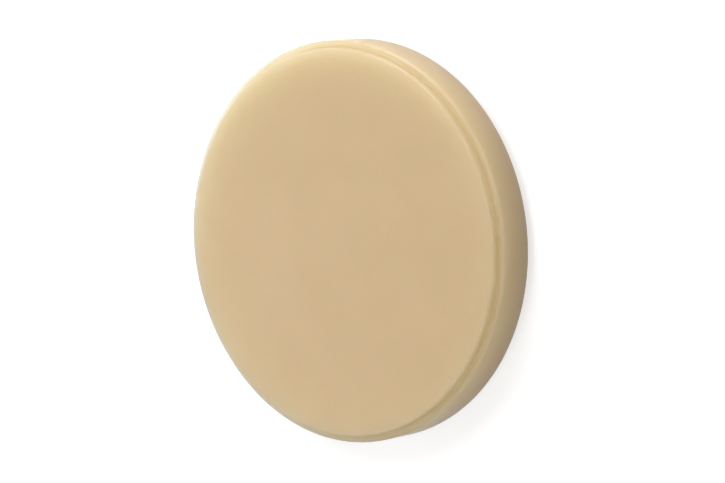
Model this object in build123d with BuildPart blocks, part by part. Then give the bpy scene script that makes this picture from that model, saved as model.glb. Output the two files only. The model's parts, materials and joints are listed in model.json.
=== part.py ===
from build123d import *

import os

# A milling disc is a blank of tooth-coloured resin, from which crowns and bridges are cut.
# It is one solid, pressed and then turned to size. Its widest part is the clamping collar,
# which the holder of a milling machine grips. On each side of the collar a round face of
# smaller diameter stands out, and a narrow flat shoulder runs round the foot of each step.
# The disc lies on its back face. The origin is the centre of that face, and +Z points
# through the disc to the front face.

# Driving dimensions, in millimetres
collar_diameter = 98.5
collar_thickness = 10.0
shoulder_width = 1.75
step_height = 2.0
face_edge_radius = 0.6
shoulder_corner_radius = 0.4
collar_chamfer = 0.5

# Radii and heights that follow from them
collar_radius = collar_diameter / 2
face_radius = collar_radius - shoulder_width
back_shoulder_height = step_height
front_shoulder_height = back_shoulder_height + collar_thickness
front_face_height = front_shoulder_height + step_height

# Two worked edges meet on each wall of the step and on each shoulder, so on a shallow step
# or a narrow shoulder each one takes only its own share of that wall.
face_edge = min(face_edge_radius, step_height * 0.6)
shoulder_corner = min(shoulder_corner_radius, step_height * 0.3, shoulder_width * 0.4)
collar_edge = min(collar_chamfer, shoulder_width * 0.4, collar_thickness * 0.4)

os.makedirs("parts", exist_ok=True)

with BuildPart() as milling_disc:
    # Half of the disc's section, from its axis at X = 0 out to the collar
    with BuildSketch(Plane.XZ) as section:
        with BuildLine():
            Polyline(
                (0, 0),
                (face_radius, 0),
                (face_radius, back_shoulder_height),
                (collar_radius, back_shoulder_height),
                (collar_radius, front_shoulder_height),
                (face_radius, front_shoulder_height),
                (face_radius, front_face_height),
                (0, front_face_height),
                close=True,
            )
        make_face()

        # The collar's two outer corners are cut off at 45 degrees, so that it drops easily
        # into its holder
        collar_corners = section.vertices().group_by(Axis.X)[-1]
        chamfer(collar_corners, collar_edge)

        # The inner corners, where the step rises from the shoulder, keep the tool's radius
        step_corners = section.vertices().filter_by_position(Axis.X, face_radius, face_radius)
        fillet(step_corners.sort_by(Axis.Y)[1:-1], shoulder_corner)

        # The rims of the two faces have the softest edge, which catches the light
        step_corners = section.vertices().filter_by_position(Axis.X, face_radius, face_radius)
        fillet(step_corners.group_by(Axis.Y)[0] + step_corners.group_by(Axis.Y)[-1], face_edge)
    revolve(axis=Axis.Z)

milling_disc.part.label = "milling_disc"
export_step(milling_disc.part, "parts/milling_disc.step")
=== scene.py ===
import json
from math import cos, pi, radians, sin

import bmesh
import bpy
from mathutils import Matrix, Vector


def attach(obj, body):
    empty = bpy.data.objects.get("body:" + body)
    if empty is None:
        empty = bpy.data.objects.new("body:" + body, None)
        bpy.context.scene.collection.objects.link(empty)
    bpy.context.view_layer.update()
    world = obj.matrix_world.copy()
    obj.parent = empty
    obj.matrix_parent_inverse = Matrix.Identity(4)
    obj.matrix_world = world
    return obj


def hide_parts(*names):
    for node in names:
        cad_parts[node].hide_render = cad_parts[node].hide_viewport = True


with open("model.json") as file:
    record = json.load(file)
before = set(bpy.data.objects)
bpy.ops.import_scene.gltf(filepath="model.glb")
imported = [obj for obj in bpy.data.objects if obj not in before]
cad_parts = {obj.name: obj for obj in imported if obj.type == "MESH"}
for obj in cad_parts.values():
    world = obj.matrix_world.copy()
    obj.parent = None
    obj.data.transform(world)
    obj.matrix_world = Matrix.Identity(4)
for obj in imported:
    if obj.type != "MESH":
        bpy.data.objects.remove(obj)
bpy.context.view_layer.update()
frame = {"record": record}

# Milling disc. One solid blank of tooth-coloured acrylic resin, pressed and then turned to size.
# The collar round its middle is what a milling machine grips, and a round face of smaller
# diameter stands out of the collar on each side. Its rims are rounded, its collar is chamfered.
mounts = {mount["name"]: mount for mount in frame["record"]["mounts"]}
collar_radius = mounts["collar_rim"]["dims"]["r_mm"] / 1000
back_shoulder_height = mounts["back_shoulder"]["pos_m"][2]
front_shoulder_height = mounts["front_shoulder"]["pos_m"][2]
front_face_height = mounts["front_face"]["pos_m"][2]
collar_thickness = front_shoulder_height - back_shoulder_height
shoulder_width = 0.00175
face_radius = collar_radius - shoulder_width
face_edge_radius = 0.0006
shoulder_corner_radius = 0.0004
collar_chamfer = 0.0005
chamfer_softening = 0.0001
sides = 320

bpy.ops.object.select_all(action="DESELECT")
bpy.ops.mesh.primitive_cylinder_add(
    vertices=sides,
    radius=collar_radius,
    depth=collar_thickness,
    location=(0, 0, back_shoulder_height + collar_thickness / 2),
)
blank = bpy.context.object
blank.name = "resin_blank"
blank.data.name = "resin_blank"
bpy.ops.object.transform_apply(location=True, rotation=True, scale=True)
bpy.ops.object.mode_set(mode="EDIT")


def choose_faces(wanted):
    """Leaves selected only the faces of the piece in edit mode that the test picks."""
    bpy.ops.mesh.select_mode(type="FACE")
    bpy.ops.mesh.select_all(action="DESELECT")
    shape = bmesh.from_edit_mesh(bpy.context.object.data)
    for face in shape.faces:
        face.select_set(wanted(face))
    bmesh.update_edit_mesh(bpy.context.object.data)


def choose_ring(radius, height):
    """Leaves selected only the edges that run round the disc at this radius and height."""
    near = radius * 0.0005
    bpy.ops.mesh.select_mode(type="EDGE")
    bpy.ops.mesh.select_all(action="DESELECT")
    shape = bmesh.from_edit_mesh(bpy.context.object.data)
    for edge in shape.edges:
        ends_on_ring = [
            abs(end.co.xy.length - radius) < near and abs(end.co.z - height) < near
            for end in edge.verts
        ]
        edge.select_set(all(ends_on_ring))
    bmesh.update_edit_mesh(bpy.context.object.data)


def lies_flat(face, outward):
    """True for a level face that looks up, where outward is 1, or down, where it is -1."""
    nearly_level = 0.9
    return face.normal.z * outward > nearly_level


# The shoulder is what is left of the collar's end when the face rises out of it
front_step = front_face_height - front_shoulder_height
back_step = back_shoulder_height
for outward, step in ((1, front_step), (-1, back_step)):
    choose_faces(lambda face: lies_flat(face, outward))
    bpy.ops.mesh.inset(thickness=shoulder_width)
    bpy.ops.mesh.extrude_region_move(TRANSFORM_OT_translate={"value": (0, 0, outward * step)})

# The worked edges: the faces' rounded rims, then on each side of the collar the inner corner
# that the tool leaves and the chamfer, whose own two edges are slightly soft
for height in (0, front_face_height):
    choose_ring(face_radius, height)
    bpy.ops.mesh.bevel(offset=face_edge_radius, segments=10, profile=0.5)
for height, towards_middle in ((back_shoulder_height, 1), (front_shoulder_height, -1)):
    choose_ring(face_radius, height)
    bpy.ops.mesh.bevel(offset=shoulder_corner_radius, segments=6, profile=0.5)
    choose_ring(collar_radius, height)
    bpy.ops.mesh.bevel(offset=collar_chamfer, segments=1)
    chamfer_top = (collar_radius - collar_chamfer, height)
    chamfer_foot = (collar_radius, height + towards_middle * collar_chamfer)
    for radius, edge_height in (chamfer_top, chamfer_foot):
        choose_ring(radius, edge_height)
        bpy.ops.mesh.bevel(offset=chamfer_softening, segments=3, profile=0.5)

# Rings inside each face keep it exactly flat up to its rounded rim
flat_rings = 6
for outward in (1, -1):
    choose_faces(lambda face: lies_flat(face, outward) and len(face.verts) == sides)
    bpy.ops.mesh.inset(thickness=face_edge_radius / 2)
    for ring in range(flat_rings):
        bpy.ops.mesh.inset(thickness=face_radius / (flat_rings + 1))
    bpy.ops.mesh.poke()
bpy.ops.mesh.select_all(action="SELECT")
bpy.ops.mesh.normals_make_consistent(inside=False)
bpy.ops.object.mode_set(mode="OBJECT")
bpy.ops.object.shade_smooth()
weighted = blank.modifiers.new("flat_faces_stay_flat", "WEIGHTED_NORMAL")
weighted.weight = 80
bpy.ops.object.modifier_apply(modifier=weighted.name)

# The resin lets light in deeply, so its rims glow where light enters from the side. Red light
# is scattered back a little sooner than green and blue.
deepest_scatter = 0.028
scatter_by_colour = (0.72, 1.0, 0.9)
resin = bpy.data.materials.new("satin_acrylic_resin")
resin.use_nodes = True
nodes, links = resin.node_tree.nodes, resin.node_tree.links
shader = nodes["Principled BSDF"]
shader.inputs["IOR"].default_value = 1.49
shader.inputs["Specular IOR Level"].default_value = 0.25
shader.inputs["Subsurface Weight"].default_value = 1.0
shader.inputs["Subsurface Radius"].default_value = scatter_by_colour
shader.inputs["Subsurface Scale"].default_value = deepest_scatter
place = nodes.new("ShaderNodeTexCoord").outputs["Object"]


def noise(pattern_size, detail):
    """A cloudy pattern on the piece, whose patches are about this many metres across."""
    texture = nodes.new("ShaderNodeTexNoise")
    texture.inputs["Scale"].default_value = 1 / pattern_size
    texture.inputs["Detail"].default_value = detail
    links.new(place, texture.inputs["Vector"])
    return texture.outputs["Fac"]


# Colour: the pigment lies in faint clouds and in specks as fine as the pressed powder's grains
cloud_size = 0.014
speck_size = 0.0004
speck_share = 0.35
pigment = nodes.new("ShaderNodeMath")
pigment.operation = "MULTIPLY_ADD"
pigment.inputs[1].default_value = speck_share
links.new(noise(speck_size, detail=2), pigment.inputs[0])
links.new(noise(cloud_size, detail=3), pigment.inputs[2])
shade = nodes.new("ShaderNodeValToRGB")
darker, lighter = shade.color_ramp.elements
darker.position = 0.45
darker.color = (0.621, 0.459, 0.261, 1)
lighter.position = 0.9
lighter.color = (0.645, 0.479, 0.278, 1)
links.new(pigment.outputs[0], shade.inputs["Fac"])
links.new(shade.outputs["Color"], shader.inputs["Base Color"])

# Gloss: a satin finish, a little duller where the blank has been handled
handled_patch_size = 0.009
gloss = nodes.new("ShaderNodeMapRange")
gloss.inputs["From Min"].default_value = 0.35
gloss.inputs["From Max"].default_value = 0.65
gloss.inputs["To Min"].default_value = 0.38
gloss.inputs["To Max"].default_value = 0.46
links.new(noise(handled_patch_size, detail=4), gloss.inputs["Value"])
links.new(gloss.outputs["Result"], shader.inputs["Roughness"])

# Relief: the lathe's fine turning marks, as rings on the faces and as threads on the walls,
# with a fine grain over them. A wave texture of scale 1 repeats every 2 * pi / 20 metres.
turning_pitch = 0.00025
turning_depth = 0.0000025
grain_size = 0.00018
grain_depth = 0.000006
marks = nodes.new("ShaderNodeMath")
marks.operation = "ADD"
for slot, kind in enumerate(("RINGS", "BANDS")):
    wave = nodes.new("ShaderNodeTexWave")
    wave.wave_type = kind
    wave.rings_direction = "Z"
    wave.bands_direction = "Z"
    wave.inputs["Scale"].default_value = 2 * pi / 20 / turning_pitch
    wave.inputs["Distortion"].default_value = 0.4
    links.new(place, wave.inputs["Vector"])
    links.new(wave.outputs["Fac"], marks.inputs[slot])
turned = nodes.new("ShaderNodeBump")
turned.inputs["Distance"].default_value = turning_depth
links.new(marks.outputs[0], turned.inputs["Height"])
grain = nodes.new("ShaderNodeBump")
grain.inputs["Distance"].default_value = grain_depth
links.new(noise(grain_size, detail=2), grain.inputs["Height"])
links.new(turned.outputs["Normal"], grain.inputs["Normal"])
links.new(grain.outputs["Normal"], shader.inputs["Normal"])
blank.data.materials.append(resin)

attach(blank, "root")
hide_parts("milling_disc")

# Camera. The blank lies on its back face, so the view that the photograph has of it standing
# is taken by a camera that looks down at 50 degrees and is rolled on to its side.
degrees_above_table = 50.2
degrees_of_roll = -98.05
beside_face_centre = (0.0063, 0.0004)
camera_distance = 0.7304
camera_data = bpy.data.cameras.new("camera")
camera_data.sensor_width = 36
camera_data.lens = 149
camera = bpy.data.objects.new("camera", camera_data)
bpy.context.scene.collection.objects.link(camera)
looking_down = Matrix.Rotation(radians(90 - degrees_above_table), 4, "X")
rolled = Matrix.Rotation(radians(degrees_of_roll), 4, "Z")
face_centre = Matrix.Translation((0, 0, front_face_height))
stand_back = Matrix.Translation((*beside_face_centre, camera_distance))
camera.matrix_world = face_centre @ looking_down @ rolled @ stand_back
bpy.context.scene.camera = camera

# Table and backdrop. A plain white table under the blank, with white all round it. Both look
# white to the camera and in reflections, and give the blank no light beyond what they bounce.
table_width = 6
bpy.ops.object.select_all(action="DESELECT")
bpy.ops.mesh.primitive_plane_add(size=table_width)
floor = bpy.context.object
floor.name = "floor"


def seen_directly(tree):
    """1 for rays that come straight from the camera or by way of a reflection, else 0."""
    rays = tree.nodes.new("ShaderNodeLightPath")
    seen = rays.outputs["Is Camera Ray"]
    for other in ("Is Glossy Ray", "Is Transmission Ray"):
        either = tree.nodes.new("ShaderNodeMath")
        either.operation = "MAXIMUM"
        tree.links.new(seen, either.inputs[0])
        tree.links.new(rays.outputs[other], either.inputs[1])
        seen = either.outputs[0]
    return seen


white = bpy.data.materials.new("white_table")
white.use_nodes = True
table_nodes, table_links = white.node_tree.nodes, white.node_tree.links
tabletop = table_nodes["Principled BSDF"]
tabletop.inputs["Base Color"].default_value = (0.5, 0.5, 0.5, 1)
tabletop.inputs["Roughness"].default_value = 0.9
tabletop.inputs["Emission Color"].default_value = (1, 1, 1, 1)

# Near the blank the lamps' own light takes the table the rest of the way to white. The lift is
# full only further out, where that light fades.
table_place = table_nodes.new("ShaderNodeTexCoord").outputs["Object"]
from_blank = table_nodes.new("ShaderNodeVectorMath")
from_blank.operation = "LENGTH"
table_links.new(table_place, from_blank.inputs[0])
lift = table_nodes.new("ShaderNodeMapRange")
lift.inputs["From Min"].default_value = 0.3
lift.inputs["From Max"].default_value = 1.2
lift.inputs["To Min"].default_value = 0.66
lift.inputs["To Max"].default_value = 1.0
table_links.new(from_blank.outputs["Value"], lift.inputs["Value"])
seen_lift = table_nodes.new("ShaderNodeMath")
seen_lift.operation = "MULTIPLY"
table_links.new(seen_directly(white.node_tree), seen_lift.inputs[0])
table_links.new(lift.outputs["Result"], seen_lift.inputs[1])
table_links.new(seen_lift.outputs[0], tabletop.inputs["Emission Strength"])
floor.data.materials.append(white)

world = bpy.data.worlds.new("studio")
bpy.context.scene.world = world
world.use_nodes = True
backdrop = world.node_tree.nodes["Background"]
backdrop.inputs["Color"].default_value = (1, 1, 1, 1)
world.node_tree.links.new(seen_directly(world.node_tree), backdrop.inputs["Strength"])

# Lamps. Round softboxes round the blank. A large high one and a small low one stand at the top
# of the picture, and the others fill in from above, from the left and from the darker sides.


def add_softbox(name, azimuth, elevation, size, brightness, distance=1.0):
    """Brightness is how a white card renders that lies in the blank's place, facing the lamp."""
    lamp = bpy.data.lights.new(name, "AREA")
    lamp.shape = "DISK"
    lamp.size = size
    lamp.energy = brightness * (pi * distance) ** 2
    softbox = bpy.data.objects.new(name, lamp)
    softbox.visible_camera = False
    bpy.context.scene.collection.objects.link(softbox)
    turned_by, raised_by = radians(azimuth), radians(elevation)
    across = cos(raised_by)
    towards = Vector((cos(turned_by) * across, sin(turned_by) * across, sin(raised_by)))
    turn = towards.to_track_quat("Z", "Y").to_matrix().to_4x4()
    softbox.matrix_world = Matrix.Translation(towards * distance) @ turn


add_softbox("low_key_softbox", azimuth=0, elevation=8, size=0.24, brightness=0.44)
add_softbox("high_key_softbox", azimuth=0, elevation=50, size=0.8, brightness=0.69)
add_softbox("overhead_softbox", azimuth=180, elevation=62, size=0.8, brightness=0.36)
add_softbox("left_softbox", azimuth=90, elevation=38, size=0.25, brightness=0.19, distance=0.5)
add_softbox("right_fill", azimuth=270, elevation=15, size=0.8, brightness=0.26)
add_softbox("bottom_fill", azimuth=180, elevation=15, size=0.8, brightness=0.11)

bpy.context.scene.view_settings.view_transform = "Standard"
